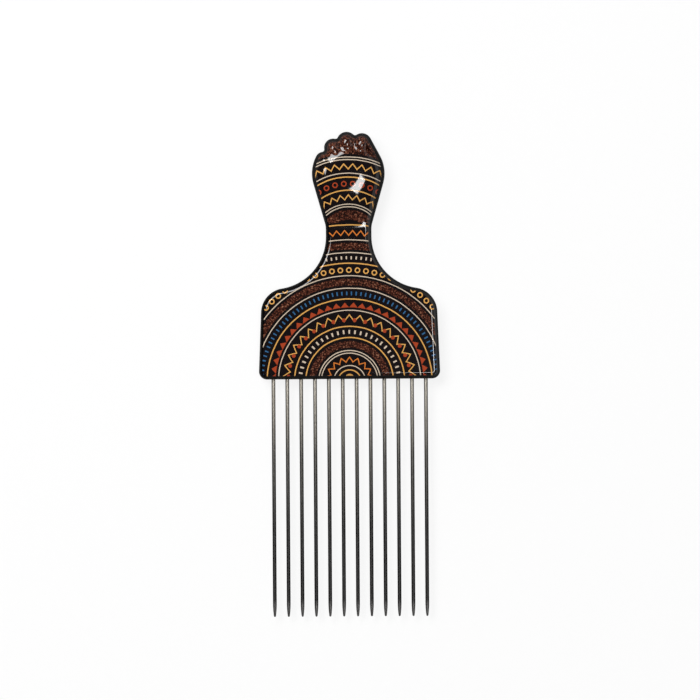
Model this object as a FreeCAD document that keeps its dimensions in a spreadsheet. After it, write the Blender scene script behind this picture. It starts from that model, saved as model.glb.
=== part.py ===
import FreeCAD, Part
import math
import os
import Sketcher
from FreeCAD import Vector

# An afro pick lying on its back: +X across the paddle, +Y towards the fist, +Z out of the printed front.
# Each body is drawn with its own zero at the middle of the paddle's lower edge, on the back face.

# Driving dimensions in millimetres: alias, value, meaning.
SIZES = [
    ("paddle_width", 76.2, "across the lower corners"),
    ("shoulder_inset", 1, "straight sides' upper ends inside the lower corners"),
    ("corner_radius", 3.4, "lower corners of the paddle"),
    ("shoulder_radius", 10.5, "rounded shoulders"),
    ("neck_width", 19.2, "narrowest width"),
    ("neck_height", 60, "lower edge to the start of the neck"),
    ("neck_radius", 22, "hollow between shoulder and neck"),
    ("neck_straight", 3, "straight length of the neck"),
    ("wrist_radius", 10, "hollow between neck and fist"),
    ("fist_width", 30.6, "widest part of the fist"),
    ("fist_rise", 23.5, "neck to the widest part of the fist"),
    ("fist_side_radius", 15.5, "rounded sides of the fist"),
    ("crown_rise", 17.5, "widest part of the fist to the top knuckle"),
    ("index_radius", 4.2, "first knuckle"),
    ("index_offset", 5.8, "first knuckle, to the right of the axis"),
    ("index_drop", 0.6, "first knuckle's top below the crown"),
    ("middle_radius", 4.25, "second knuckle"),
    ("middle_offset", 0.6, "second knuckle, to the left of the axis"),
    ("ring_radius", 3.8, "third knuckle"),
    ("ring_offset", 6.3, "third knuckle, to the left of the axis"),
    ("ring_drop", 2.8, "third knuckle's top below the crown"),
    ("little_radius", 3.5, "fourth knuckle"),
    ("little_drop", 8.3, "fourth knuckle's top below the crown"),
    ("valley_radius", 1, "hollow between two knuckles"),
    ("knuckle_rise", 3, "knuckle above the front face"),
    ("knuckle_inset", 0.5, "side of a knuckle inside its outline"),
    ("knuckle_length", 12, "knuckle, along the finger"),
    ("finger_turn_share", 0.5, "turn of a finger, as a share of its knuckle's turn about the dome"),
    ("handle_thickness", 8, "back face to front face"),
    ("front_edge_radius", 2.6, "rounded edge on the front"),
    ("back_edge_radius", 2, "rounded edge on the back"),
    ("edge_limit_share", 0.85, "largest edge radius, as a share of the corner that it goes round"),
    ("dome_width", 24, "back of the hand, across"),
    ("dome_length", 31, "back of the hand, along"),
    ("dome_rise", 4, "back of the hand above the front face"),
    ("dome_drop", 2.5, "middle of the dome below the fist's widest part"),
    ("dome_turn", 8, "lean of the dome to the right, in degrees"),
    ("dome_flank_share", 0.72, "front face above the dome's centre, as a share of the dome's half height"),
    ("dome_seat", 0.6, "depth of the dome's foot inside the handle"),
    ("pin_count", 12, "pins in the row"),
    ("pin_margin", 6, "outer pin's axis to the side of the paddle"),
    ("pin_diameter", 1.6, "steel wire"),
    ("pin_reach", 100, "pin outside the handle"),
    ("pin_root", 20, "pin inside the handle"),
    ("tip_length", 6, "tapered tip"),
    ("tip_diameter", 0.9, "rounded end of the tip"),
    ("root_chamfer", 0.2, "bevel on the inner end of a pin"),
    ("mouth_chamfer", 0.3, "bevel at the mouth of a bore"),
    ("groove_count", 3, "retaining grooves on a root"),
    ("groove_width", 0.8, "one groove"),
    ("groove_depth", 0.15, "one groove"),
    ("groove_pitch", 2.4, "groove to groove"),
    ("groove_start", 2, "inner end of the pin to the first groove"),
    ("film_thickness", 0.15, "printed film"),
    ("film_margin", 1.4, "edge of the film inside the outline"),
    ("overrun", 1, "cutting shapes past the surface that they cut"),
]

doc = FreeCAD.newDocument("afro_pick")
sheet = doc.addObject("Spreadsheet::Sheet", "dims")
for row, (alias, value, meaning) in enumerate(SIZES, start=1):
    sheet.set(f"A{row}", meaning)
    sheet.set(f"B{row}", str(value))
    sheet.setAlias(f"B{row}", alias)
doc.recompute()


class Size:
    """A length from the sheet, or a sum of such lengths, with its value and its expression."""

    def __init__(self, value, text):
        self.value = value
        self.text = text

    def joined(self, other, sign, value):
        text = other.text if isinstance(other, Size) else repr(other)
        return Size(value, f"({self.text} {sign} {text})")

    def __add__(self, other):
        return self.joined(other, "+", self.value + float(other))

    def __sub__(self, other):
        return self.joined(other, "-", self.value - float(other))

    def __mul__(self, other):
        return self.joined(other, "*", self.value * float(other))

    def __truediv__(self, other):
        return self.joined(other, "/", self.value / float(other))

    def __float__(self):
        return self.value

    def __neg__(self):
        return Size(-self.value, f"(-{self.text})")


class Dims:
    """The sheet's cells by their aliases."""

    def __getattr__(self, alias):
        return Size(float(sheet.get(alias)), f"dims.{alias}")


dims = Dims()
FIST_HEIGHT = dims.neck_height + dims.neck_straight + dims.fist_rise
HANDLE_LENGTH = FIST_HEIGHT + dims.crown_rise
SHOULDER_SIDE = dims.paddle_width / 2 - dims.shoulder_inset
LOWER_EDGE = (dims.pin_reach - HANDLE_LENGTH) / 2
PIN_PITCH = (dims.paddle_width - dims.pin_margin * 2) / (dims.pin_count - 1)
PIN_RADIUS = dims.pin_diameter / 2
PIN_HEIGHT = dims.handle_thickness / 2
PIN_COUNT = int(float(dims.pin_count))
# Sketcher's numbers for the points of an element and for a sketch's own axes.
START, END, CENTRE = range(1, 4)
LEVEL_AXIS, UPRIGHT_AXIS = range(-1, -3, -1)
ORIGIN = (LEVEL_AXIS, START)


def bind(target, prop, size):
    target.setExpression(prop, size.text)


def origin_feature(body, role):
    return next(part for part in body.Origin.OriginFeatures if part.Role == role)


def new_body(label):
    """A body whose zero is at the middle of the paddle's lower edge."""
    body = doc.addObject("PartDesign::Body", label)
    body.Label = label
    bind(body, "Placement.Base.y", LOWER_EDGE)
    return body


def new_sketch(body, name):
    sketch = body.newObject("Sketcher::SketchObject", name)
    sketch.AttachmentSupport = [(origin_feature(body, "XY_Plane"), "")]
    sketch.MapMode = "FlatFace"
    return sketch


def line(sketch, start, end):
    return sketch.addGeometry(Part.LineSegment(start, end), False)


def arc(sketch, centre, radius, start, end):
    """An arc that runs anticlockwise from one angle to another."""
    circle = Part.Circle(centre, Vector(0, 0, 1), radius)
    return sketch.addGeometry(Part.ArcOfCircle(circle, start, end), False)


def relate(sketch, kind, *parts):
    sketch.addConstraint(Sketcher.Constraint(kind, *parts))


def drive(sketch, name, kind, *parts, to):
    """A named dimension of a sketch, bound to its size."""
    index = sketch.addConstraint(Sketcher.Constraint(kind, *parts, float(to)))
    sketch.renameConstraint(index, name)
    bind(sketch, f"Constraints.{name}", to)


def smooth_chain(sketch, joints):
    """Ends that meet and share a tangent: (element, end, element, end)."""
    for joint in joints:
        relate(sketch, "Tangent", *joint)


def closed_chain(sketch, elements):
    """Lines that follow each other end to start, back to the first."""
    for this, following in zip(elements, elements[1:] + elements[:1]):
        relate(sketch, "Coincident", this, END, following, START)


def polar(centre, radius, angle):
    return centre + Vector(radius * math.cos(angle), radius * math.sin(angle), 0)


def angle_of(vector):
    return math.atan2(vector.y, vector.x)


def meeting(first, first_radius, second, second_radius):
    """Where two circles cross, on the left of the way from the first centre to the second."""
    way = second - first
    along = (way.Length ** 2 + first_radius ** 2 - second_radius ** 2) / (2 * way.Length)
    across = math.sqrt(first_radius ** 2 - along ** 2)
    return polar(polar(first, along, angle_of(way)), across, angle_of(way) + math.pi / 2)


def draw_half_outline(sketch):
    """The right half of paddle, neck and fist, up to the fist's widest part."""
    corner_radius = float(dims.corner_radius)
    shoulder_radius = float(dims.shoulder_radius)
    neck_radius = float(dims.neck_radius)
    wrist_radius = float(dims.wrist_radius)
    fist_radius = float(dims.fist_side_radius)
    neck_side = float(dims.neck_width) / 2
    shoulder_side = float(SHOULDER_SIDE)
    neck_foot = Vector(neck_side, float(dims.neck_height), 0)
    neck_head = neck_foot + Vector(0, float(dims.neck_straight), 0)
    widest = Vector(float(dims.fist_width) / 2, float(FIST_HEIGHT), 0)

    corner = Vector(float(dims.paddle_width) / 2 - corner_radius, corner_radius, 0)
    neck = neck_foot + Vector(neck_radius, 0, 0)
    wrist = neck_head + Vector(wrist_radius, 0, 0)
    fist = widest - Vector(fist_radius, 0, 0)
    flank_rise = neck.y - neck_radius - shoulder_radius
    lean = math.atan2(corner.x + corner_radius - shoulder_side, flank_rise)
    shoulder = Vector(shoulder_side - shoulder_radius, 0, 0)
    reach = neck_radius + shoulder_radius
    shoulder.y = neck.y - math.sqrt(reach ** 2 - (neck.x - shoulder.x) ** 2)
    turn = angle_of(neck - shoulder)
    way = fist - wrist
    flare = angle_of(way) - math.acos(-(fist_radius + wrist_radius) / way.Length)

    bottom = line(sketch, Vector(0, 0, 0), Vector(corner.x, 0, 0))
    corner_arc = arc(sketch, corner, corner_radius, -math.pi / 2, lean)
    side = line(sketch, polar(corner, corner_radius, lean), polar(shoulder, shoulder_radius, lean))
    shoulder_arc = arc(sketch, shoulder, shoulder_radius, lean, turn)
    neck_arc = arc(sketch, neck, neck_radius, math.pi, math.pi + turn)
    neck_line = line(sketch, neck_foot, neck_head)
    wrist_arc = arc(sketch, wrist, wrist_radius, math.pi + flare, math.pi)
    flare_start = polar(wrist, wrist_radius, math.pi + flare)
    flare_line = line(sketch, flare_start, polar(fist, fist_radius, flare))
    fist_arc = arc(sketch, fist, fist_radius, flare, 0)
    across = line(sketch, widest, Vector(0, widest.y, 0))
    axis = line(sketch, Vector(0, widest.y, 0), Vector(0, 0, 0))

    smooth_chain(sketch, [
        (bottom, END, corner_arc, START),
        (corner_arc, END, side, START),
        (side, END, shoulder_arc, START),
        (shoulder_arc, END, neck_arc, END),
        (neck_arc, START, neck_line, START),
        (neck_line, END, wrist_arc, END),
        (wrist_arc, START, flare_line, START),
        (flare_line, END, fist_arc, START),
    ])
    relate(sketch, "Coincident", bottom, START, *ORIGIN)
    relate(sketch, "Coincident", axis, END, *ORIGIN)
    relate(sketch, "Coincident", fist_arc, END, across, START)
    relate(sketch, "Coincident", across, END, axis, START)
    for level in (bottom, across):
        relate(sketch, "Horizontal", level)
    for upright in (neck_line, axis):
        relate(sketch, "Vertical", upright)
    relate(sketch, "Horizontal", fist_arc, CENTRE, fist_arc, END)
    corner_place = dims.paddle_width / 2 - dims.corner_radius
    drive(sketch, "corner_place", "DistanceX", *ORIGIN, corner_arc, CENTRE, to=corner_place)
    drive(sketch, "shoulder_place", "DistanceX", *ORIGIN, side, END, to=SHOULDER_SIDE)
    drive(sketch, "neck_place", "DistanceX", *ORIGIN, neck_line, START, to=dims.neck_width / 2)
    drive(sketch, "neck_height", "DistanceY", *ORIGIN, neck_line, START, to=dims.neck_height)
    drive(sketch, "neck_straight", "DistanceY", neck_line, START, neck_line, END, to=dims.neck_straight)
    drive(sketch, "fist_place", "DistanceX", *ORIGIN, fist_arc, END, to=dims.fist_width / 2)
    drive(sketch, "fist_height", "DistanceY", *ORIGIN, fist_arc, END, to=FIST_HEIGHT)
    drive(sketch, "corner_radius", "Radius", corner_arc, to=dims.corner_radius)
    drive(sketch, "shoulder_radius", "Radius", shoulder_arc, to=dims.shoulder_radius)
    drive(sketch, "neck_radius", "Radius", neck_arc, to=dims.neck_radius)
    drive(sketch, "wrist_radius", "Radius", wrist_arc, to=dims.wrist_radius)
    drive(sketch, "fist_side_radius", "Radius", fist_arc, to=dims.fist_side_radius)


def knuckle_sizes():
    """Name, radius, offset to the right and height of each knuckle, from the first to the fourth."""
    index_height = HANDLE_LENGTH - dims.index_drop - dims.index_radius
    middle_height = HANDLE_LENGTH - dims.middle_radius
    ring_height = HANDLE_LENGTH - dims.ring_drop - dims.ring_radius
    little_height = HANDLE_LENGTH - dims.little_drop - dims.little_radius
    room = dims.fist_side_radius - dims.little_radius
    rise = little_height - FIST_HEIGHT
    reach = Size(math.sqrt(float(room) ** 2 - float(rise) ** 2), f"sqrt({room.text}^2 - {rise.text}^2)")
    little_offset = dims.fist_side_radius - dims.fist_width / 2 - reach
    return [
        ("index", dims.index_radius, dims.index_offset, index_height),
        ("middle", dims.middle_radius, -dims.middle_offset, middle_height),
        ("ring", dims.ring_radius, -dims.ring_offset, ring_height),
        ("little", dims.little_radius, little_offset, little_height),
    ]


def draw_crown(sketch):
    """The upper part of the fist, with four knuckles in a row that falls to the left."""
    knuckles = knuckle_sizes()
    centres = [Vector(float(offset), float(height), 0) for name, radius, offset, height in knuckles]
    radii = [float(radius) for name, radius, offset, height in knuckles]
    valley_radius = float(dims.valley_radius)
    fist_radius = float(dims.fist_side_radius)
    right_end = Vector(float(dims.fist_width) / 2, float(FIST_HEIGHT), 0)
    left_end = Vector(-right_end.x, right_end.y, 0)
    right = right_end - Vector(fist_radius, 0, 0)
    left = left_end + Vector(fist_radius, 0, 0)
    way = centres[0] - right
    slant = angle_of(way) - math.acos((fist_radius - radii[0]) / way.Length)
    valleys = []
    for this in range(len(knuckles) - 1):
        after = this + 1
        wide = [radius + valley_radius for radius in radii]
        valleys.append(meeting(centres[after], wide[after], centres[this], wide[this]))

    right_arc = arc(sketch, right, fist_radius, 0, slant)
    thumb_line = line(sketch, polar(right, fist_radius, slant), polar(centres[0], radii[0], slant))
    smooth_chain(sketch, [(right_arc, END, thumb_line, START)])
    entry = slant
    before, before_end = thumb_line, END
    for this, (name, radius, offset, height) in enumerate(knuckles):
        last = this == len(knuckles) - 1
        leave = angle_of(centres[this] - left) if last else angle_of(valleys[this] - centres[this])
        knuckle_arc = arc(sketch, centres[this], radii[this], entry, leave)
        smooth_chain(sketch, [(before, before_end, knuckle_arc, START)])
        drive(sketch, f"{name}_radius", "Radius", knuckle_arc, to=radius)
        drive(sketch, f"{name}_height", "DistanceY", *ORIGIN, knuckle_arc, CENTRE, to=height)
        if name == "index":
            drive(sketch, f"{name}_offset", "DistanceX", *ORIGIN, knuckle_arc, CENTRE, to=offset)
        elif not last:
            drive(sketch, f"{name}_offset", "DistanceX", knuckle_arc, CENTRE, *ORIGIN, to=-offset)
        if last:
            before, before_end = knuckle_arc, END
            continue
        facing = angle_of(centres[this + 1] - valleys[this])
        away = angle_of(centres[this] - valleys[this])
        valley_arc = arc(sketch, valleys[this], valley_radius, facing, away)
        smooth_chain(sketch, [(knuckle_arc, END, valley_arc, END)])
        drive(sketch, f"{name}_valley", "Radius", valley_arc, to=dims.valley_radius)
        before, before_end = valley_arc, START
        entry = angle_of(valleys[this] - centres[this + 1])
    left_arc = arc(sketch, left, fist_radius, angle_of(centres[-1] - left), math.pi)
    across = line(sketch, left_end, right_end)
    smooth_chain(sketch, [(before, before_end, left_arc, START)])
    relate(sketch, "Coincident", left_arc, END, across, START)
    relate(sketch, "Coincident", across, END, right_arc, START)
    relate(sketch, "Horizontal", right_arc, CENTRE, right_arc, START)
    relate(sketch, "Horizontal", left_arc, CENTRE, left_arc, END)
    drive(sketch, "right_place", "DistanceX", *ORIGIN, right_arc, START, to=dims.fist_width / 2)
    drive(sketch, "right_height", "DistanceY", *ORIGIN, right_arc, START, to=FIST_HEIGHT)
    drive(sketch, "left_place", "DistanceX", left_arc, END, *ORIGIN, to=dims.fist_width / 2)
    drive(sketch, "left_height", "DistanceY", *ORIGIN, left_arc, END, to=FIST_HEIGHT)
    drive(sketch, "right_radius", "Radius", right_arc, to=dims.fist_side_radius)
    drive(sketch, "left_radius", "Radius", left_arc, to=dims.fist_side_radius)


def flat_face(shape, height):
    """The name and the face of the largest level face at a height."""
    faces = []
    for number, face in enumerate(shape.Faces, start=1):
        off_height = abs(face.CenterOfMass.z - height)
        if isinstance(face.Surface, Part.Plane) and off_height < Part.Precision.confusion():
            faces.append((face.Area, f"Face{number}", face))
    return max(faces)[1:]


def add_pad(body, sketch, name, length):
    pad = body.newObject("PartDesign::Pad", name)
    pad.Profile = sketch
    bind(pad, "Length", length)
    return pad


def add_edge_round(body, name, height, size):
    """Rounds every edge of the level face at a height, within what its tightest corners allow."""
    doc.recompute()
    base = body.Tip
    face_name = flat_face(base.Shape, height)[0]
    edge = body.newObject("PartDesign::Fillet", name)
    edge.Base = (base, [face_name])
    limits = [dims.corner_radius] + [radius for label, radius, offset, up in knuckle_sizes()]
    limit_texts = [f"dims.edge_limit_share * {limit.text}" for limit in limits]
    edge.setExpression("Radius", f"min({'; '.join([size.text] + limit_texts)})")
    return edge


def turn_about_upright(feature, angle_text):
    """Turns a feature clockwise, seen from the front."""
    # A first turn of one degree sets the axis; the expression then sets the angle.
    feature.Placement.Rotation = FreeCAD.Rotation(Vector(0, 0, -1), 1)
    feature.setExpression("Placement.Rotation.Angle", angle_text)


def add_dome(body):
    """The back of the hand: the top of an ellipsoid, with its foot inside the handle."""
    flank = dims.dome_flank_share
    tall = dims.dome_rise / (-flank + 1)
    spread = Size(math.sqrt(1 - float(flank) ** 2), f"sqrt(1 - {flank.text}^2)")
    dome = body.newObject("PartDesign::AdditiveEllipsoid", "fist_dome")
    bind(dome, "Radius1", tall)
    bind(dome, "Radius2", dims.dome_width / 2 / spread)
    bind(dome, "Radius3", dims.dome_length / 2 / spread)
    dome.setExpression("Angle1", f"asin({flank.text} - {(dims.dome_seat / tall).text})")
    bind(dome, "Placement.Base.y", FIST_HEIGHT - dims.dome_drop)
    bind(dome, "Placement.Base.z", dims.handle_thickness - tall * flank)
    turn_about_upright(dome, f"{dims.dome_turn.text} * 1 deg")


def add_knuckles(body):
    """Four rounded knuckles, each drawn out along its finger towards the back of the hand."""
    middle = FIST_HEIGHT - dims.dome_drop
    for name, radius, offset, height in knuckle_sizes():
        half_width = radius - dims.knuckle_inset
        half_length = dims.knuckle_length / 2
        inward = half_length - half_width
        rise = height - middle
        turn = math.atan2(float(offset), float(rise)) * float(dims.finger_turn_share)
        turn_text = f"atan2({offset.text}; {rise.text}) * {dims.finger_turn_share.text}"
        sine = Size(math.sin(turn), f"sin({turn_text})")
        cosine = Size(math.cos(turn), f"cos({turn_text})")
        knuckle = body.newObject("PartDesign::AdditiveEllipsoid", f"{name}_knuckle")
        bind(knuckle, "Radius1", half_width)
        bind(knuckle, "Radius2", half_width)
        bind(knuckle, "Radius3", half_length)
        bind(knuckle, "Placement.Base.x", offset - inward * sine)
        bind(knuckle, "Placement.Base.y", height - inward * cosine)
        bind(knuckle, "Placement.Base.z", dims.handle_thickness + dims.knuckle_rise - half_width)
        turn_about_upright(knuckle, turn_text)


def add_bores(body):
    """A blind bore for each pin's root, bevelled at its mouth in the paddle's lower edge."""
    sketch = new_sketch(body, "bore_profile")
    bind(sketch, "AttachmentOffset.Base.x", -PIN_PITCH * (dims.pin_count - 1) / 2)
    bind(sketch, "AttachmentOffset.Base.z", PIN_HEIGHT)
    wall = float(PIN_RADIUS)
    mouth = float(PIN_RADIUS + dims.mouth_chamfer)
    bevel = float(dims.mouth_chamfer)
    depth = float(dims.pin_root)
    corners = [
        Vector(0, 0, 0),
        Vector(mouth, 0, 0),
        Vector(wall, bevel, 0),
        Vector(wall, depth, 0),
        Vector(0, depth, 0),
    ]
    mouth_line, bevel_line, wall_line, floor_line, axis_line = [
        line(sketch, start, end) for start, end in zip(corners, corners[1:] + corners[:1])
    ]
    closed_chain(sketch, [mouth_line, bevel_line, wall_line, floor_line, axis_line])
    relate(sketch, "Coincident", mouth_line, START, *ORIGIN)
    for level in (mouth_line, floor_line):
        relate(sketch, "Horizontal", level)
    for upright in (wall_line, axis_line):
        relate(sketch, "Vertical", upright)
    mouth_place = PIN_RADIUS + dims.mouth_chamfer
    drive(sketch, "mouth_place", "DistanceX", *ORIGIN, mouth_line, END, to=mouth_place)
    drive(sketch, "bore_radius", "DistanceX", *ORIGIN, wall_line, START, to=PIN_RADIUS)
    drive(sketch, "mouth_bevel", "DistanceY", *ORIGIN, wall_line, START, to=dims.mouth_chamfer)
    drive(sketch, "bore_depth", "DistanceY", *ORIGIN, wall_line, END, to=dims.pin_root)
    bore = body.newObject("PartDesign::Groove", "first_bore")
    bore.Profile = sketch
    bore.ReferenceAxis = (sketch, ["V_Axis"])
    bores = body.newObject("PartDesign::LinearPattern", "bores")
    bores.Originals = [bore]
    bores.Direction = (origin_feature(body, "X_Axis"), [""])
    bind(bores, "Length", PIN_PITCH * (dims.pin_count - 1))
    bind(bores, "Occurrences", dims.pin_count)
    body.Tip = bores


def make_handle():
    """The moulded handle, and the outline of its front face before the edge is rounded."""
    body = new_body("handle_body")
    half = new_sketch(body, "half_outline")
    draw_half_outline(half)
    half_pad = add_pad(body, half, "half_slab", dims.handle_thickness)
    slab = body.newObject("PartDesign::Mirrored", "slab")
    slab.Originals = [half_pad]
    slab.MirrorPlane = (origin_feature(body, "YZ_Plane"), [""])
    body.Tip = slab
    crown = new_sketch(body, "crown_outline")
    draw_crown(crown)
    add_pad(body, crown, "crown", dims.handle_thickness)
    doc.recompute()
    front = flat_face(body.Tip.Shape, float(dims.handle_thickness))[1]
    add_edge_round(body, "front_edge", float(dims.handle_thickness), dims.front_edge_radius)
    add_edge_round(body, "back_edge", 0, dims.back_edge_radius)
    add_dome(body)
    add_knuckles(body)
    doc.recompute()
    solid = body.Tip.Shape.Volume
    add_bores(body)
    doc.recompute()
    bored = solid - body.Tip.Shape.Volume
    expected = PIN_COUNT * math.pi * float(PIN_RADIUS) ** 2 * float(dims.pin_root)
    print(f"bores cut {bored:.1f} mm3, plain holes {expected:.1f} mm3")
    return body, front


def make_film(handle, front):
    """The printed film: a thin skin over the front, cut back from the rounded edge."""
    thickness = float(dims.film_thickness)
    solid = handle.Tip.Shape
    raised = solid.translated(Vector(0, 0, thickness))
    patch = front.makeOffset2D(-float(dims.film_margin))
    start = dims.handle_thickness - dims.front_edge_radius
    height = dims.front_edge_radius + dims.dome_rise + dims.knuckle_rise + dims.overrun
    patch.translate(Vector(0, 0, float(start - dims.handle_thickness)))
    column = patch.extrude(Vector(0, 0, float(height)))
    skin = raised.cut(solid).common(column)
    film = doc.addObject("Part::Feature", "front_print_film")
    film.Label = "front_print_film"
    film.Shape = skin.Solids[0] if len(skin.Solids) == 1 else skin
    film.Placement = handle.Placement
    return film


def make_pin(number):
    """One steel pin, drawn along the upright axis with its zero at the paddle's lower edge."""
    body = new_body(f"pin_{number:02d}")
    place = PIN_PITCH * (number - 1) - PIN_PITCH * (dims.pin_count - 1) / 2
    bind(body, "Placement.Base.x", place)
    bind(body, "Placement.Base.z", PIN_HEIGHT)
    tip_radius = dims.tip_diameter / 2
    wire = float(PIN_RADIUS)
    tip = float(tip_radius)
    root = float(dims.pin_root)
    bevel = float(dims.root_chamfer)
    reach = float(dims.pin_reach)
    taper = reach - float(dims.tip_length)

    sketch = new_sketch(body, "pin_profile")
    axis_line = line(sketch, Vector(0, -reach, 0), Vector(0, root, 0))
    end_line = line(sketch, Vector(0, root, 0), Vector(wire - bevel, root, 0))
    bevel_line = line(sketch, Vector(wire - bevel, root, 0), Vector(wire, root - bevel, 0))
    wire_line = line(sketch, Vector(wire, root - bevel, 0), Vector(wire, -taper, 0))
    taper_line = line(sketch, Vector(wire, -taper, 0), Vector(tip, tip - reach, 0))
    tip_arc = arc(sketch, Vector(0, tip - reach, 0), tip, -math.pi / 2, 0)
    for this, following in ((axis_line, end_line), (end_line, bevel_line), (bevel_line, wire_line),
                            (wire_line, taper_line)):
        relate(sketch, "Coincident", this, END, following, START)
    relate(sketch, "Coincident", taper_line, END, tip_arc, END)
    relate(sketch, "Coincident", tip_arc, START, axis_line, START)
    relate(sketch, "PointOnObject", axis_line, START, UPRIGHT_AXIS)
    relate(sketch, "PointOnObject", axis_line, END, UPRIGHT_AXIS)
    relate(sketch, "PointOnObject", tip_arc, CENTRE, UPRIGHT_AXIS)
    relate(sketch, "Horizontal", end_line)
    relate(sketch, "Vertical", wire_line)
    relate(sketch, "Horizontal", tip_arc, CENTRE, tip_arc, END)
    drive(sketch, "root", "DistanceY", *ORIGIN, axis_line, END, to=dims.pin_root)
    drive(sketch, "reach", "DistanceY", axis_line, START, *ORIGIN, to=dims.pin_reach)
    drive(sketch, "wire_radius", "DistanceX", *ORIGIN, wire_line, START, to=PIN_RADIUS)
    drive(sketch, "bevel_width", "DistanceX", bevel_line, START, bevel_line, END, to=dims.root_chamfer)
    drive(sketch, "bevel_height", "DistanceY", bevel_line, END, bevel_line, START, to=dims.root_chamfer)
    drive(sketch, "taper", "DistanceY", taper_line, START, *ORIGIN, to=dims.pin_reach - dims.tip_length)
    drive(sketch, "tip_radius", "Radius", tip_arc, to=tip_radius)
    shaft = body.newObject("PartDesign::Revolution", "shaft")
    shaft.Profile = sketch
    shaft.ReferenceAxis = (sketch, ["V_Axis"])
    add_root_grooves(body)
    return body


def add_root_grooves(body):
    """Rings cut into a pin's root, which key it into the moulding."""
    sketch = new_sketch(body, "groove_profile")
    inner = float(PIN_RADIUS - dims.groove_depth)
    outer = float(PIN_RADIUS + dims.overrun)
    top = float(dims.pin_root - dims.groove_start)
    foot = top - float(dims.groove_width)
    corners = [Vector(inner, foot, 0), Vector(outer, foot, 0), Vector(outer, top, 0), Vector(inner, top, 0)]
    foot_line, outer_line, top_line, inner_line = [
        line(sketch, start, end) for start, end in zip(corners, corners[1:] + corners[:1])
    ]
    closed_chain(sketch, [foot_line, outer_line, top_line, inner_line])
    for level in (foot_line, top_line):
        relate(sketch, "Horizontal", level)
    for upright in (outer_line, inner_line):
        relate(sketch, "Vertical", upright)
    drive(sketch, "inner", "DistanceX", *ORIGIN, inner_line, START, to=PIN_RADIUS - dims.groove_depth)
    drive(sketch, "outer", "DistanceX", *ORIGIN, outer_line, START, to=PIN_RADIUS + dims.overrun)
    drive(sketch, "top", "DistanceY", *ORIGIN, top_line, START, to=dims.pin_root - dims.groove_start)
    drive(sketch, "width", "DistanceY", inner_line, END, inner_line, START, to=dims.groove_width)
    groove = body.newObject("PartDesign::Groove", "first_groove")
    groove.Profile = sketch
    groove.ReferenceAxis = (sketch, ["V_Axis"])
    grooves = body.newObject("PartDesign::LinearPattern", "root_grooves")
    grooves.Originals = [groove]
    grooves.Direction = (origin_feature(body, "Y_Axis"), [""])
    grooves.Reversed = True
    bind(grooves, "Length", dims.groove_pitch * (dims.groove_count - 1))
    bind(grooves, "Occurrences", dims.groove_count)
    body.Tip = grooves


handle, front = make_handle()
pins = [make_pin(number) for number in range(1, PIN_COUNT + 1)]
doc.recompute()
film = make_film(handle, front)
doc.recompute()

for item in doc.Objects:
    if {"Invalid", "Error"} & set(item.State):
        raise RuntimeError(f"{item.Label} failed: {item.State}")
os.makedirs("parts", exist_ok=True)
for part in [handle, film] + pins:
    shape = part.Shape
    if shape.isNull() or not shape.isValid():
        raise RuntimeError(f"{part.Label} has no valid shape")
for part in [handle, film] + pins:
    part.Shape.exportStep(f"parts/{part.Label}.step")
    box = part.Shape.optimalBoundingBox(False, False)
    print(f"{part.Label}: {part.Shape.Volume:.1f} mm3, {len(part.Shape.Solids)} solid, "
          f"x {box.XMin:.2f} to {box.XMax:.2f}, y {box.YMin:.2f} to {box.YMax:.2f}, "
          f"z {box.ZMin:.2f} to {box.ZMax:.2f}")
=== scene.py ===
import math

import bmesh
import bpy
import numpy as np
from mathutils import Matrix, Vector


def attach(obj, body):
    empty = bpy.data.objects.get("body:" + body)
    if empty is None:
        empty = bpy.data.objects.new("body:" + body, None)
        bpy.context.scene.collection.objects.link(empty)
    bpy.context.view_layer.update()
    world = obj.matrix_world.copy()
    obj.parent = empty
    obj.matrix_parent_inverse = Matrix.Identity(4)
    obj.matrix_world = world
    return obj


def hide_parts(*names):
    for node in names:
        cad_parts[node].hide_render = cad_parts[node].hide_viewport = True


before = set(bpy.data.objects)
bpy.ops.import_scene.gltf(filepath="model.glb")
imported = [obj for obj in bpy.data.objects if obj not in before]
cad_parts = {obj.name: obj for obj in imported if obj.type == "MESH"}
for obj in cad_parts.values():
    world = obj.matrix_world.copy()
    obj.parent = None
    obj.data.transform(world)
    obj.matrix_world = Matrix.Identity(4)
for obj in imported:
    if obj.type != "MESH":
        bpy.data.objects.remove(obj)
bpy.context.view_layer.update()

millimetre = 0.001
lowerEdge = -2.0  # row-frame y of the paddle's lower edge, in mm
slack = 1e-5  # a point this close to a cut lies on it
sharpAngle = 40.0  # edges that turn further, in degrees, are shaded sharp
print("frame loaded:", len(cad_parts), "nodes")


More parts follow.
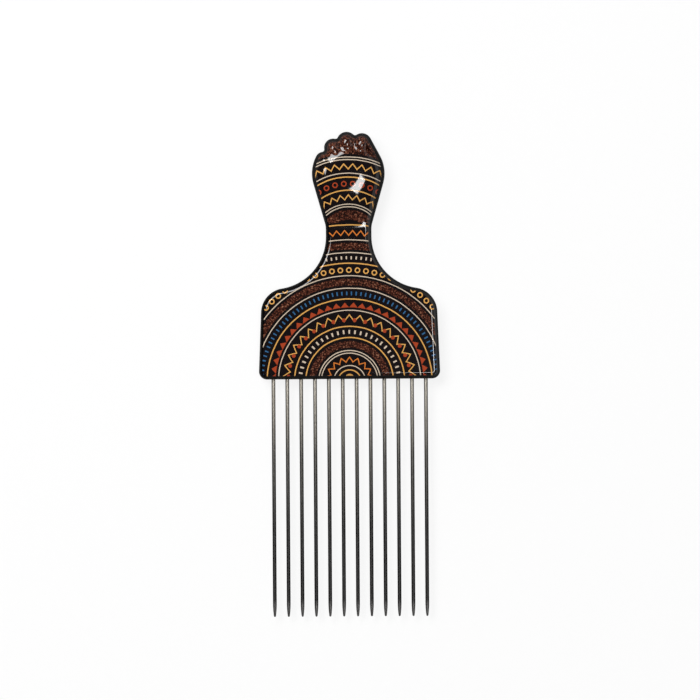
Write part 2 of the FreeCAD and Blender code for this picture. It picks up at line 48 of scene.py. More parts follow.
class Wire:
    # wraps one output socket: arithmetic on it adds Math nodes to its tree
    def __init__(self, tree, socket=None):
        self.tree = tree
        self.socket = socket

    # any node: its settings come first, then the values or links of its sockets
    def node(self, kind, settings=None, sockets=None, output=0):
        made = self.tree.nodes.new(kind)
        for name, value in (settings or {}).items():
            if name == "stops":
                while len(made.color_ramp.elements) < len(value):
                    made.color_ramp.elements.new(1.0)
                for stop, (place, colour) in zip(made.color_ramp.elements, value):
                    stop.position, stop.color = place, colour
            else:
                setattr(made, name, value)
        for name, value in (sockets or {}).items():
            if isinstance(value, Wire):
                self.tree.links.new(value.socket, made.inputs[name])
            else:
                made.inputs[name].default_value = value
        return Wire(self.tree, made.outputs[output] if len(made.outputs) else None)

    def part(self, name):  # another output of the same node
        return Wire(self.tree, self.socket.node.outputs[name])

    def maths(self, operation, *values):
        return self.node("ShaderNodeMath", {"operation": operation}, dict(enumerate(values)))

    def blend(self, first, second):  # this wire is the factor between two colours
        return self.node("ShaderNodeMix", {"data_type": "RGBA"}, {0: self, 6: first, 7: second}, 2)

    def __add__(self, other):
        return self.maths("ADD", self, other)

    def __radd__(self, other):
        return self.maths("ADD", other, self)

    def __sub__(self, other):
        return self.maths("SUBTRACT", self, other)

    def __rsub__(self, other):
        return self.maths("SUBTRACT", other, self)

    def __mul__(self, other):
        return self.maths("MULTIPLY", self, other)

    def __rmul__(self, other):
        return self.maths("MULTIPLY", other, self)

    def __truediv__(self, other):
        return self.maths("DIVIDE", self, other)

    def __lt__(self, other):
        return self.maths("LESS_THAN", self, other)

    def __gt__(self, other):
        return self.maths("GREATER_THAN", self, other)

    def __or__(self, other):
        return self.maths("MAXIMUM", self, other)

    def __abs__(self):
        return self.maths("ABSOLUTE", self)


def newMaterial(name):
    material = bpy.data.materials.new(name)
    material.use_nodes = True
    material.node_tree.nodes.clear()
    return material, Wire(material.node_tree)


def finishMaterial(wire, shader):
    wire.node("ShaderNodeOutputMaterial", None, {"Surface": shader})


def paint(red, green, blue):  # screen colour, 0 to 255, as a shader colour
    def linear(level):  # the sRGB curve
        level /= 255
        return level / 12.92 if level <= 0.04045 else ((level + 0.055) / 1.055) ** 2.4
    return (linear(red), linear(green), linear(blue), 1.0)


def vertsOf(geom):
    return [part for part in geom if isinstance(part, bmesh.types.BMVert)]


def withEdges(faces):  # the faces with their edges and points, for a cut
    return list({part for face in faces for part in (face, *face.edges, *face.verts)})


def cut(bm, geom, place, direction):
    return bmesh.ops.bisect_plane(bm, geom=geom, dist=slack, plane_co=place, plane_no=direction)["geom"]


def drawTo(bm, pen, place):  # a straight line from the last point to a new one
    pen = bmesh.ops.extrude_vert_indiv(bm, verts=[pen])["verts"][0]
    pen.co = place
    return pen


# Outline of the handle, in mm above the lower edge: circles (x, y, radius), in the order in which the edge
# runs round them, anticlockwise from the lower right corner. A minus radius is a hollow.
handleShape = {
    "corner": (34.7, 3.4, 3.4),
    "shoulder": (26.608, 27.886, 10.5),
    "neck": (31.6, 60.0, -22.0),
    "wrist": (19.6, 63.0, -10.0),
    "fistSide": (-0.2, 86.5, 15.5),
    "knuckles": [(5.8, 99.2, 4.2), (-0.6, 99.75, 4.25), (-6.3, 97.4, 3.8), (-10.362, 92.2, 3.5)],
    "valleyRadius": 1.0,
    "chordError": 0.004,  # how far an outline segment may stray from its arc
    "weld": 0.01,  # outline points closer than this are one
    "thickness": 8.0,
    "frontRound": 2.6,
    "backRound": 2.0,
    "roundSteps": 10,
    "flatRim": 0.12,  # level ring inside a rounded edge, which keeps the flat face's shading flat
    "fistStart": 62.0,  # where the front's fine grid begins
    "gridStep": 0.3,
    "gridReach": 15.6,
    "gridTop": 104.8,
}

# The back of the hand, one broad swelling with a flat crown, and a ball for each knuckle.
fistShape = {
    "crown": (-0.6, 87.0),  # where the hand is thickest
    "rise": 4.0,
    "edgeInset": 1.3,
    "leastHalfWidth": 1.0,
    "upperLength": 12.6,
    "lowerLength": 25.0,
    "fullness": 2.5,
    "knuckleRise": 3.5,
    "knuckleInset": 0.9,
    "knuckleHalfLength": 4.2,
    "knuckleFullness": 2.2,
    "fingerTurnShare": 0.5,
    "sink": 1.0,  # how far under the front face the flanks end
    "softenings": 8,
}


def valleyBetween(first, second, radius):
    a, b = Vector(first[:2]), Vector(second[:2])
    reachA, reachB = first[2] + radius, second[2] + radius
    way = b - a
    along = (way.length_squared + reachA ** 2 - reachB ** 2) / (2 * way.length)
    across = math.sqrt(reachA ** 2 - along ** 2)
    unit = way.normalized()
    spot = a + unit * along + Vector((unit.y, -unit.x)) * across
    return (spot.x, spot.y, -radius)


def outlineCircles():
    right = [handleShape[name] for name in ("corner", "shoulder", "neck", "wrist", "fistSide")]
    left = [(-x, y, radius) for x, y, radius in reversed(right)]
    knuckles = handleShape["knuckles"]
    crown = [knuckles[0]]
    for before, after in zip(knuckles, knuckles[1:]):
        crown += [valleyBetween(before, after, handleShape["valleyRadius"]), after]
    return right + crown + left


def drawOutline(bm):
    circles = outlineCircles()
    facings = []  # direction from each centre to where the edge leaves its circle
    for (x, y, radius), (nextX, nextY, nextRadius) in zip(circles, circles[1:] + circles[:1]):
        way = Vector((nextX - x, nextY - y))
        lean = max(-1.0, min(1.0, (radius - nextRadius) / way.length))
        facings.append(math.atan2(way.y, way.x) - math.acos(lean))

    def contact(circle, facing):
        x, y, radius = circle
        return Vector((x + radius * math.cos(facing), y + radius * math.sin(facing), 0))

    pen = bm.verts.new(contact(circles[0], facings[-1]))
    for index, circle in enumerate(circles):
        x, y, radius = circle
        turn = (facings[index] - facings[index - 1]) % (2 * math.pi)
        if radius < 0:
            turn -= 2 * math.pi
        steps = math.ceil(abs(turn) / (2 * math.acos(1 - handleShape["chordError"] / abs(radius))))
        spun = bmesh.ops.spin(bm, geom=[pen], cent=(x, y, 0), axis=(0, 0, 1), angle=turn, steps=steps)
        onward = contact(circles[(index + 1) % len(circles)], facings[index])
        pen = drawTo(bm, vertsOf(spun["geom_last"])[0], onward)
    bmesh.ops.remove_doubles(bm, verts=bm.verts[:], dist=handleShape["weld"])
    face = bmesh.ops.contextual_create(bm, geom=bm.edges[:])["faces"][0]
    face.normal_update()
    if face.normal.z < 0:
        face.normal_flip()
    return face


def roundInwards(bm, face, radius, steps, start=0.0):
    # rings that carry a face inwards and up round a quarter circle, from a start angle
    span = math.pi / 2 - start
    for step in range(steps):
        low, high = start + span * step / steps, start + span * (step + 1) / steps
        inward = radius * (math.cos(low) - math.cos(high))
        upward = radius * (math.sin(high) - math.sin(low))
        bmesh.ops.inset_region(bm, faces=[face], thickness=inward, depth=upward, use_boundary=True,
                               use_even_offset=True)
    bmesh.ops.inset_region(bm, faces=[face], thickness=handleShape["flatRim"], use_boundary=True,
                           use_even_offset=True)


def gridFist(bm, face):
    # cuts the fist's part of a level front face into a fine grid
    start, step = handleShape["fistStart"], handleShape["gridStep"]
    halves = cut(bm, withEdges([face]), (0, start, 0), (0, 1, 0))
    faces = [part for part in halves if isinstance(part, bmesh.types.BMFace)]
    geom = withEdges([part for part in faces if part.calc_center_bounds().y > start])
    across = math.floor(handleShape["gridReach"] / step)
    for column in range(-across, across + 1):
        geom = cut(bm, geom, (column * step, 0, 0), (1, 0, 0))
    for row in range(1, math.ceil((handleShape["gridTop"] - start) / step)):
        geom = cut(bm, geom, (0, start + row * step, 0), (0, 1, 0))


def bulge(foot, top, across, along, fullness):
    # height of a swelling, where across and along are shares of its two half lengths; a fullness of 2 is an
    # ellipsoid, and more has a flatter crown and steeper flanks
    left = 1 - abs(across) ** fullness - abs(along) ** fullness
    return foot + (top - foot) * max(left, 0.0) ** (1 / fullness)


def handHalfWidth(y):
    wristX, wristY, wristRadius = handleShape["wrist"]
    sideX, sideY, sideRadius = handleShape["fistSide"]
    if y > sideY:
        return sideX + math.sqrt(max(sideRadius ** 2 - (y - sideY) ** 2, 0.0))
    narrow, wide = wristX + wristRadius, sideX + sideRadius
    climb = max((y - wristY) / (sideY - wristY), 0.0)
    return narrow + (wide - narrow) * climb * climb * (3 - 2 * climb)  # eases out of the wrist


def handRise(x, y):
    # rounds over towards the knuckles, and thins out towards the wrist, where it starts without a crease
    crownX, crownY = fistShape["crown"]
    half = max(handHalfWidth(y) - fistShape["edgeInset"], fistShape["leastHalfWidth"])
    side = half - crownX if x > crownX else half + crownX
    over = max(y - crownY, 0.0) / fistShape["upperLength"]
    under = min(max(crownY - y, 0.0) / fistShape["lowerLength"], 1.0)
    fullness = fistShape["fullness"]
    full = bulge(-fistShape["sink"], fistShape["rise"], (x - crownX) / side, over, fullness)
    return max(full, 0.0) * (1 - under ** fullness) ** 2


def knuckleRise(x, y, knuckle):
    knuckleX, knuckleY, radius = knuckle
    half, length = radius - fistShape["knuckleInset"], fistShape["knuckleHalfLength"]
    turn = math.atan2(knuckleX, knuckleY - fistShape["crown"][1]) * fistShape["fingerTurnShare"]
    finger = Vector((math.sin(turn), math.cos(turn)))
    away = Vector((x, y)) - Vector((knuckleX, knuckleY)) + finger * (length - half)
    return bulge(-fistShape["sink"], fistShape["knuckleRise"], away.cross(finger) / half,
                 away.dot(finger) / length, fistShape["knuckleFullness"])


def fistField():
    # the fist's rise above the front face at the cuts of its grid, softened
    step = handleShape["gridStep"]
    across = math.floor(handleShape["gridReach"] / step)
    columns = [column * step for column in range(-across, across + 1)]
    rows = np.arange(handleShape["fistStart"], handleShape["gridTop"], step)

    def rise(x, y):
        return max(0.0, handRise(x, y), *(knuckleRise(x, y, knuckle) for knuckle in handleShape["knuckles"]))

    field = np.array([[rise(x, y) for x in columns] for y in rows])
    for _ in range(fistShape["softenings"]):
        for axis in (0, 1):
            field = (np.roll(field, 1, axis) + 2 * field + np.roll(field, -1, axis)) / 4
    return field


fistRises = fistField()
print("fist shaped:", fistRises.size, "points, up to", round(fistRises.max(), 2), "mm")


def fistHeight(x, y, level):
    # a level of the plain front with the fist's rise added, evened out between the points of the field
    if y < handleShape["fistStart"]:
        return level
    row, up = divmod((y - handleShape["fistStart"]) / handleShape["gridStep"], 1)
    column, along = divmod(x / handleShape["gridStep"] + fistRises.shape[1] // 2, 1)
    low, high = fistRises[int(row):int(row) + 2, int(column):int(column) + 2]
    rises = [side[0] + (side[1] - side[0]) * along for side in (low, high)]
    return level + rises[0] + (rises[1] - rises[0]) * up


def finishPiece(bm, name, material):
    # mm above the lower edge become metres in the row frame
    bmesh.ops.translate(bm, verts=bm.verts[:], vec=(0, lowerEdge, 0))
    bmesh.ops.scale(bm, verts=bm.verts[:], vec=(millimetre,) * 3)
    bmesh.ops.recalc_face_normals(bm, faces=bm.faces[:])
    for face in bm.faces:
        face.smooth = True
    mesh = bpy.data.meshes.new(name)
    bm.to_mesh(mesh)
    bm.free()
    mesh.set_sharp_from_angle(angle=math.radians(sharpAngle))
    mesh.materials.append(material)
    piece = bpy.data.objects.new(name, mesh)
    bpy.context.scene.collection.objects.link(piece)
    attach(piece, "root")
    print(name, "made:", len(mesh.polygons), "faces")
    return piece


pinRow = {
    "count": 12,
    "span": 64.2,  # first pin to last
    "height": 4.0,
    "radius": 0.8,
    "boreDepth": 20.0,
    "boreRadius": 0.82,
    "mouthBevel": 0.3,
    "cellHalf": 1.25,
    "mouthCuts": 7,
    "mouthInset": 0.05,
}
pinPitch = pinRow["span"] / (pinRow["count"] - 1)
pinPlaces = [(number - (pinRow["count"] - 1) / 2) * pinPitch for number in range(pinRow["count"])]


def faceAt(bm, place):
    return min(bm.faces, key=lambda face: (face.calc_center_median() - place).length)


def boreHandle(bm):
    # a bevelled blind hole for each pin in the lower wall
    geom = withEdges([face for face in bm.faces if abs(face.calc_center_median().y) < slack])
    cell = pinRow["cellHalf"]
    cuts = [((0, 0, pinRow["height"] + side * cell), (0, 0, 1)) for side in (-1, 1)]
    cuts += [((place + side * cell, 0, 0), (1, 0, 0)) for place in pinPlaces for side in (-1, 1)]
    for place, direction in cuts:
        geom = cut(bm, geom, place, direction)
    bevel = pinRow["mouthBevel"]
    for place in pinPlaces:
        centre = Vector((place, 0, pinRow["height"]))
        bmesh.ops.subdivide_edges(bm, edges=faceAt(bm, centre).edges[:], cuts=pinRow["mouthCuts"])
        mouth = faceAt(bm, centre)
        bmesh.ops.inset_region(bm, faces=[mouth], thickness=pinRow["mouthInset"])
        for vert in mouth.verts:  # the square's inner loop drawn into a circle
            vert.co = centre + (vert.co - centre).normalized() * (pinRow["boreRadius"] + bevel)
        bmesh.ops.inset_region(bm, faces=[mouth], thickness=bevel, depth=-bevel)
        deep = bmesh.ops.extrude_face_region(bm, geom=[mouth])["geom"]
        bmesh.ops.translate(bm, verts=vertsOf(deep), vec=(0, pinRow["boreDepth"] - bevel, 0))
        bmesh.ops.delete(bm, geom=[mouth], context="FACES_ONLY")


def makeHandle(material):
    bm = bmesh.new()
    face = drawOutline(bm)
    bmesh.ops.translate(bm, verts=bm.verts[:], vec=(0, 0, handleShape["backRound"]))
    raised = bmesh.ops.extrude_face_region(bm, geom=[face])["geom"]
    wall = handleShape["thickness"] - handleShape["frontRound"] - handleShape["backRound"]
    bmesh.ops.translate(bm, verts=vertsOf(raised), vec=(0, 0, wall))
    bmesh.ops.recalc_face_normals(bm, faces=bm.faces[:])
    front = max(bm.faces, key=lambda one: one.normal.z)
    back = min(bm.faces, key=lambda one: one.normal.z)
    boreHandle(bm)
    roundInwards(bm, front, handleShape["frontRound"], handleShape["roundSteps"])
    roundInwards(bm, back, handleShape["backRound"], handleShape["roundSteps"])
    gridFist(bm, front)
    for vert in bm.verts:
        if vert.co.z > handleShape["thickness"] - handleShape["frontRound"]:
            vert.co.z = fistHeight(vert.co.x, vert.co.y, vert.co.z)
    return finishPiece(bm, "handleBody", material)


filmShape = {"margin": 1.4, "thickness": 0.15, "roundSteps": 6, "rimShare": 0.1}


def makeFilm(material):
    bm = bmesh.new()
    face = drawOutline(bm)
    margin, lift = filmShape["margin"], filmShape["thickness"]
    radius = handleShape["frontRound"]
    outer = bmesh.ops.inset_region(bm, faces=[face], thickness=margin, use_boundary=True,
                                   use_even_offset=True)["faces"]
    bmesh.ops.delete(bm, geom=outer, context="FACES")
    start = math.acos((radius - margin) / radius)
    sunk = handleShape["thickness"] - radius + radius * math.sin(start)
    bmesh.ops.translate(bm, verts=bm.verts[:], vec=(0, 0, sunk))
    roundInwards(bm, face, radius, filmShape["roundSteps"], start)
    gridFist(bm, face)
    raised = bmesh.ops.extrude_face_region(bm, geom=bm.faces[:])["geom"]
    top = set(vertsOf(raised))
    for vert in bm.verts:
        level = vert.co.z  # still on the rounded edge, so it tells how far in the point lies
        vert.co.z = fistHeight(vert.co.x, vert.co.y, level)
        if vert in top:
            inward = max(0.0, (level - sunk) / (handleShape["thickness"] - sunk))
            vert.co.z += lift * (filmShape["rimShare"] + (1 - filmShape["rimShare"]) * inward)
    return finishPiece(bm, "frontPrintFilm", material)


pinShape = {
    "root": 20.0,
    "reach": 100.0,
    "tipLength": 6.0,
    "tipRadius": 0.45,
    "weld": 0.001,
    "rootBevel": 0.2,
    "grooves": 3,
    "grooveStart": 2.0,
    "groovePitch": 2.4,
    "grooveWidth": 0.8,
    "grooveDepth": 0.15,
    "tipSteps": 5,
    "sides": 32,
}


def makePin(number, material):
    radius, root, reach = pinRow["radius"], pinShape["root"], pinShape["reach"]
    tip, taper = pinShape["tipRadius"], pinShape["tipLength"]
    profile = [(0, root), (radius - pinShape["rootBevel"], root), (radius, root - pinShape["rootBevel"])]
    for groove in range(pinShape["grooves"]):
        top = root - pinShape["grooveStart"] - groove * pinShape["groovePitch"]
        bottom, floor = top - pinShape["grooveWidth"], radius - pinShape["grooveDepth"]
        profile += [(radius, top), (floor, top), (floor, bottom), (radius, bottom)]
    profile += [(radius, 0), (radius, taper - reach)]
    for step in range(1, pinShape["tipSteps"]):  # the taper swells a little, as a ground tip does
        share = step / pinShape["tipSteps"]
        along = (taper - tip) * (1 - share) + tip - reach
        profile.append((radius - (radius - tip) * share ** 2, along))
    for step in range(pinShape["tipSteps"] + 1):
        angle = math.pi / 2 * step / pinShape["tipSteps"]
        profile.append((tip * math.cos(angle), tip - reach - tip * math.sin(angle)))
    bm = bmesh.new()
    pen = bm.verts.new((0, profile[0][1], 0))
    for out, along in profile[1:]:
        pen = drawTo(bm, pen, (out, along, 0))
    bmesh.ops.spin(bm, geom=bm.verts[:] + bm.edges[:], cent=(0, 0, 0), axis=(0, 1, 0), angle=2 * math.pi,
                   steps=pinShape["sides"], use_merge=True)
    bmesh.ops.remove_doubles(bm, verts=bm.verts[:], dist=pinShape["weld"])
    bmesh.ops.translate(bm, verts=bm.verts[:], vec=(pinPlaces[number], 0, pinRow["height"]))
    return finishPiece(bm, f"pin{number + 1:02d}", material)


plasticFinish = {"colour": paint(8, 7, 7), "roughness": (0.04, 0.08), "cloudScale": 90.0, "peelScale": 420.0,
                 "peelDepth": 0.00001, "coat": 0.2, "coatRoughness": 0.04, "bend": 1.5}


def blackPlastic():
    material, wire = newMaterial("glossBlackPlastic")
    place = wire.node("ShaderNodeTexCoord", None, None, "Object")
    cloud = wire.node("ShaderNodeTexNoise", None, {"Vector": place, "Scale": plasticFinish["cloudScale"]})
    peel = wire.node("ShaderNodeTexNoise", None, {"Vector": place, "Scale": plasticFinish["peelScale"]})
    low, high = plasticFinish["roughness"]
    bump = wire.node("ShaderNodeBump", None, {"Strength": 1.0, "Distance": plasticFinish["peelDepth"],
                                              "Height": peel})
    shader = wire.node("ShaderNodeBsdfPrincipled", None, {
        "Base Color": plasticFinish["colour"], "Roughness": low + cloud * (high - low),
        "IOR": plasticFinish["bend"], "Coat Weight": plasticFinish["coat"],
        "Coat Roughness": plasticFinish["coatRoughness"], "Normal": bump,
    })
    finishMaterial(wire, shader)
    return material


# Printed bands in arches: ink, motif, inner and outer radius and repeat, in mm.
printShape = {
    "paddleCentre": -1.0,
    "fistCentre": 58.0,
    "fistFrom": 66.9,
    "wobble": 0.22,
    "wobbleScale": 260.0,
    "tickShare": 0.28,  # of its repeat
    "zigzagStroke": 0.7,
    "ringStroke": 0.5,
    "speckleScale": 1450.0,
    "speckleDetail": 3.0,
    "speckleRoughness": 0.6,
    "speckleSteps": (0.44, 0.58, 0.70),
    "paddle": [
        ("gold", "dots", 0.0, 3.2, 9.0), ("gold", "line", 4.6, 5.1, 0), ("cream", "line", 6.5, 6.9, 0),
        ("orange", "zigzag", 8.2, 10.2, 3.4), ("cream", "line", 11.7, 12.1, 0),
        ("cream", "line", 12.8, 13.2, 0), ("rust", "line", 14.2, 17.0, 0), ("gold", "line", 18.2, 18.7, 0),
        ("cream", "ticks", 20.0, 21.6, 2.4), ("gold", "line", 22.9, 23.4, 0),
        ("gold", "zigzag", 25.2, 28.0, 4.4), ("red", "dots", 25.0, 26.6, 4.4),
        ("cream", "line", 29.7, 30.1, 0), ("red", "teeth", 31.1, 33.2, 3.6),
        ("gold", "line", 34.4, 34.9, 0), ("blue", "ticks", 36.2, 37.8, 2.0),
        ("cream", "line", 39.0, 39.4, 0), ("rust", "line", 40.4, 43.2, 0), ("cream", "line", 44.2, 44.6, 0),
        ("gold", "rings", 45.6, 48.0, 3.6), ("gold", "line", 49.4, 49.9, 0),
        ("cream", "ticks", 51.3, 52.6, 2.1), ("cream", "line", 53.9, 54.3, 0),
        ("rust", "line", 55.4, 58.2, 0), ("cream", "line", 59.3, 59.7, 0),
        ("orange", "zigzag", 61.4, 63.4, 3.4), ("gold", "line", 65.5, 66.0, 0),
    ],
    "fist": [
        ("rust", "line", 8.9, 13.0, 0), ("cream", "line", 14.1, 14.5, 0), ("cream", "line", 15.2, 15.6, 0),
        ("gold", "zigzag", 17.2, 19.2, 3.4), ("gold", "line", 20.9, 21.4, 0),
        ("red", "rings", 22.7, 25.1, 3.8), ("gold", "line", 26.4, 26.9, 0),
        ("cream", "line", 28.1, 28.5, 0), ("gold", "zigzag", 30.0, 32.2, 3.8),
        ("cream", "line", 33.8, 34.2, 0), ("cream", "line", 34.9, 35.3, 0), ("rust", "line", 36.4, 50.0, 0),
    ],
}
printFinish = {"roughness": (0.04, 0.08), "coat": 0.2, "coatRoughness": 0.03, "bend": 1.5}
inkColours = {
    "ground": paint(19, 13, 15), "gold": paint(214, 148, 66), "goldPale": paint(226, 180, 106),
    "cream": paint(210, 192, 170), "orange": paint(210, 120, 50), "red": paint(166, 66, 36),
    "blue": paint(52, 100, 142), "rust": paint(94, 46, 32), "rustDark": paint(26, 13, 10),
    "rustPale": paint(158, 116, 90),
}


def band(value, low, high):
    return value.maths("COMPARE", value, (low + high) / 2, (high - low) / 2)


def motif(kind, radius, turn, inner, outer, repeat):
    # one band of the print: 1 where there is ink
    if kind == "line":
        return band(radius, inner, outer)
    middle, depth = (inner + outer) / 2, outer - inner
    count = max(1, round(math.pi * middle / repeat))
    phase = turn.maths("FRACT", turn * count) - 0.5
    if kind == "ticks":
        half = printShape["tickShare"] / 2
        return band(phase, -half, half) * band(radius, inner, outer)
    peak = 1 - abs(phase) * 2
    if kind == "teeth":
        height = (radius - inner) / depth
        return (height > 0) * (height < peak)
    if kind == "zigzag":
        half = printShape["zigzagStroke"] / 2
        return band(radius - peak * depth, inner - half, inner + half)
    across = phase * (math.pi * middle / count)
    up = radius - middle
    reach = radius.maths("SQRT", across * across + up * up)
    if kind == "dots":
        return reach < depth / 2
    return band(reach, depth / 2 - printShape["ringStroke"], depth / 2)


def printInk():
    material, wire = newMaterial("glossPrint")
    place = wire.node("ShaderNodeTexCoord", None, None, "Object")
    drift = wire.node("ShaderNodeTexNoise", None, {"Vector": place, "Scale": printShape["wobbleScale"]},
                      "Color")
    axes = wire.node("ShaderNodeSeparateXYZ", None, {"Vector": place})
    drifts = wire.node("ShaderNodeSeparateXYZ", None, {"Vector": drift})
    wobble = printShape["wobble"]
    across = axes.part("X") / millimetre + (drifts.part("X") - 0.5) * wobble
    up = axes.part("Y") / millimetre - lowerEdge + (drifts.part("Y") - 0.5) * wobble
    masks = {}
    fistOnly = None
    for region, centre in (("paddle", printShape["paddleCentre"]), ("fist", printShape["fistCentre"])):
        rise = up - centre
        radius = wire.maths("SQRT", across * across + rise * rise)
        turn = wire.maths("ARCTAN2", rise, across) / math.pi
        if region == "paddle":
            fistOnly = radius > printShape["fistFrom"]
        for ink, kind, inner, outer, repeat in printShape[region]:
            mask = motif(kind, radius, turn, inner, outer, repeat)
            if region == "fist":
                mask = mask * fistOnly
            masks[ink] = masks[ink] | mask if ink in masks else mask

    grain = wire.node("ShaderNodeTexNoise", None, {
        "Vector": place, "Scale": printShape["speckleScale"], "Detail": printShape["speckleDetail"],
        "Roughness": printShape["speckleRoughness"],
    })
    tones = [inkColours[name] for name in ("rustDark", "rust", "rustPale")]
    speckle = wire.node("ShaderNodeValToRGB", {"stops": list(zip(printShape["speckleSteps"], tones))},
                        {"Fac": grain})
    gold = grain.blend(inkColours["gold"], inkColours["goldPale"])
    colour = masks["rust"].blend(inkColours["ground"], speckle)
    colour = masks["gold"].blend(colour, gold)
    for ink in ("cream", "orange", "red", "blue"):
        colour = masks[ink].blend(colour, inkColours[ink])
    low, high = printFinish["roughness"]
    shader = wire.node("ShaderNodeBsdfPrincipled", None, {
        "Base Color": colour, "Roughness": low + grain * (high - low), "IOR": printFinish["bend"],
        "Coat Weight": printFinish["coat"], "Coat Roughness": printFinish["coatRoughness"],
    })
    finishMaterial(wire, shader)
    return material


# Blackened steel with a painted reflection along each pin: painted palest where a pin leaves the handle,
# painted darkest in its lower half, painted paler again on the tip.
steelFinish = {
    # root, middle and dark are tones of a painted reflection, pale at the handle and darkening down the pin
    "root": (0.42, 0.39, 0.34, 1),
    "middle": (0.1, 0.095, 0.088, 1),
    "dark": (0.04, 0.039, 0.038, 1),
    # the tip tone is a painted reflection, paler than the steel above it
    "tip": (0.15, 0.146, 0.142, 1),
    "rootAt": 0.0,  # mm below the handle's lower edge
    "middleAt": 32.0,
    "darkAt": 62.0,
    "tipAt": 93.0,
    # where the tip's painted reflection is palest
    "tipPaleAt": 96.0,
    "edge": (0.25, 0.25, 0.25, 1),
    "roughness": (0.4, 0.46),
    "lineScale": (2600.0, 16.0, 2600.0),
    "lineDetail": 2.0,
}


def pinSteel():
    material, wire = newMaterial("darkPinSteel")
    place = wire.node("ShaderNodeTexCoord", None, None, "Object")
    axes = wire.node("ShaderNodeSeparateXYZ", None, {"Vector": place}, "Y")
    reach = pinShape["reach"]
    below = (lowerEdge - axes / millimetre) / reach  # share of the free length
    # the colour along the pin is a painted reflection: pale at the root, dark below, paler on the tip
    marks = [("rootAt", "root"), ("middleAt", "middle"), ("darkAt", "dark"), ("tipAt", "dark"),
             ("tipPaleAt", "tip")]
    stops = [(steelFinish[at] / reach, steelFinish[tone]) for at, tone in marks]
    colour = wire.node("ShaderNodeValToRGB", {"stops": stops}, {"Fac": below})
    drawn = wire.node("ShaderNodeMapping", None, {"Vector": place, "Scale": steelFinish["lineScale"]})
    lines = wire.node("ShaderNodeTexNoise", None, {"Vector": drawn, "Scale": 1.0,
                                                   "Detail": steelFinish["lineDetail"]})
    low, high = steelFinish["roughness"]
    shader = wire.node("ShaderNodeBsdfPrincipled", None, {
        "Base Color": colour, "Metallic": 1.0, "Roughness": low + lines * (high - low),
        "Specular Tint": steelFinish["edge"],
    })
    finishMaterial(wire, shader)
    return material


handlePiece = makeHandle(blackPlastic())
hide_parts("handle_body")
filmPiece = makeFilm(printInk())
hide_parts("front_print_film")
steel = pinSteel()
for number in range(pinRow["count"]):
    pinPiece = makePin(number, steel)
    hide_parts(f"pin_{number + 1:02d}")
print("pick dressed")

stageShape = {"floor": 2.2, "cove": 0.5, "wall": 1.4, "drop": -0.0003, "coveSteps": 10, "sides": 64,
              "colour": (0.95, 0.95, 0.95, 1), "cameraShare": 0.85, "mirroredFloor": 0.14,
              "mirroredWall": 0.65}


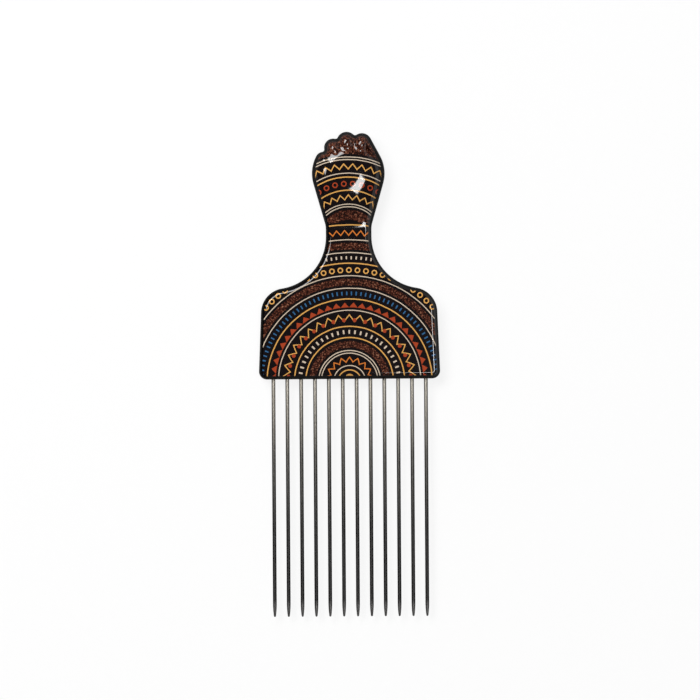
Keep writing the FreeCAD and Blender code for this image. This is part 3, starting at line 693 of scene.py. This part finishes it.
def makeStage():
    # the camera sees a white floor that keeps its shadows, and reflections see a dimmer one, whose wall is
    # palest on the right
    material, wire = newMaterial("paleFloor")
    rays = wire.node("ShaderNodeLightPath")
    camera = rays.part("Is Camera Ray")
    mirrored = rays.part("Is Glossy Ray") | rays.part("Is Transmission Ray")
    place = wire.node("ShaderNodeTexCoord", None, None, "Object")
    axes = wire.node("ShaderNodeSeparateXYZ", None, {"Vector": place})
    onWall = axes.part("Z") > 0.0
    rightward = (axes.part("X") / (stageShape["floor"] + stageShape["cove"]) + 1) / 2
    floorTone = (1 - onWall) * stageShape["mirroredFloor"]
    wallTone = onWall * (rightward * rightward) * stageShape["mirroredWall"]
    matt = wire.node("ShaderNodeBsdfDiffuse", None, {"Color": stageShape["colour"]})
    bright = wire.node("ShaderNodeEmission", None, {
        "Color": camera + mirrored * (floorTone + wallTone), "Strength": 1.0,
    })
    seen = camera * stageShape["cameraShare"] + mirrored
    finishMaterial(wire, wire.node("ShaderNodeMixShader", None, {0: seen, 1: matt, 2: bright}))
    bm = bmesh.new()
    floor, cove, drop = stageShape["floor"], stageShape["cove"], stageShape["drop"]
    pen = drawTo(bm, bm.verts.new((0, 0, drop)), (floor, 0, drop))
    spun = bmesh.ops.spin(bm, geom=[pen], cent=(floor, 0, drop + cove), axis=(0, 1, 0), angle=-math.pi / 2,
                          steps=stageShape["coveSteps"])
    pen = vertsOf(spun["geom_last"])[0]
    drawTo(bm, pen, pen.co + Vector((0, 0, stageShape["wall"])))
    bmesh.ops.spin(bm, geom=bm.verts[:] + bm.edges[:], cent=(0, 0, 0), axis=(0, 0, 1), angle=2 * math.pi,
                   steps=stageShape["sides"], use_merge=True)
    bmesh.ops.remove_doubles(bm, verts=bm.verts[:], dist=slack)
    for face in bm.faces:
        face.smooth = True
        if face.normal.z < 0:
            face.normal_flip()
    mesh = bpy.data.meshes.new("paleFloor")
    bm.to_mesh(mesh)
    bm.free()
    mesh.materials.append(material)
    stage = bpy.data.objects.new("paleFloor", mesh)
    bpy.context.scene.collection.objects.link(stage)


makeStage()

# Softboxes, which face the middle of the row frame: places and sizes in metres.
softboxes = {
    "upperLeft": {"from": (-0.62, 0.66, 1.2), "size": (1.1, 0.6), "along": (0.73, 0.68, 0), "power": 21.0},
    "lowerRight": {"from": (0.2, -0.08, 1.2), "size": (0.36, 0.2), "along": (0.59, 0.81, 0), "power": 3.4},
}
sky = {"colour": (1, 1, 1, 1), "level": 0.05}


def makeLights():
    for name, box in softboxes.items():
        data = bpy.data.lights.new(name, "AREA")
        data.shape = "RECTANGLE"
        data.size, data.size_y = box["size"]
        data.energy = box["power"]
        lamp = bpy.data.objects.new(name, data)
        lamp.location = box["from"]
        back = Vector(box["from"]).normalized()
        side = (Vector(box["along"]) - back * back.dot(Vector(box["along"]))).normalized()
        lamp.rotation_euler = Matrix((side, back.cross(side), back)).transposed().to_euler()
        bpy.context.scene.collection.objects.link(lamp)
    world = bpy.data.worlds.new("studio")
    world.use_nodes = True
    backdrop = world.node_tree.nodes["Background"]
    backdrop.inputs["Color"].default_value = sky["colour"]
    backdrop.inputs["Strength"].default_value = sky["level"]
    bpy.context.scene.world = world


# What the picture shows and where the camera stands: in mm, the roll in degrees, the farthest sight in m.
frameView = {"centre": (0.24, 10.2), "width": 294.0, "distance": 1500.0, "level": 8.0, "roll": -0.38,
             "sensor": 36.0, "farthest": 20.0}


def makeCamera():
    data = bpy.data.cameras.new("frontView")
    data.sensor_width = frameView["sensor"]
    data.lens = data.sensor_width * frameView["distance"] / frameView["width"]
    data.clip_end = frameView["farthest"]
    camera = bpy.data.objects.new("frontView", data)
    height = frameView["distance"] + frameView["level"]
    camera.location = Vector((*frameView["centre"], height)) * millimetre
    camera.rotation_euler = (0, 0, math.radians(frameView["roll"]))
    bpy.context.scene.collection.objects.link(camera)
    bpy.context.scene.camera = camera


makeLights()
makeCamera()
bpy.context.scene.view_settings.view_transform = "Standard"
print("stage, lights and camera set")
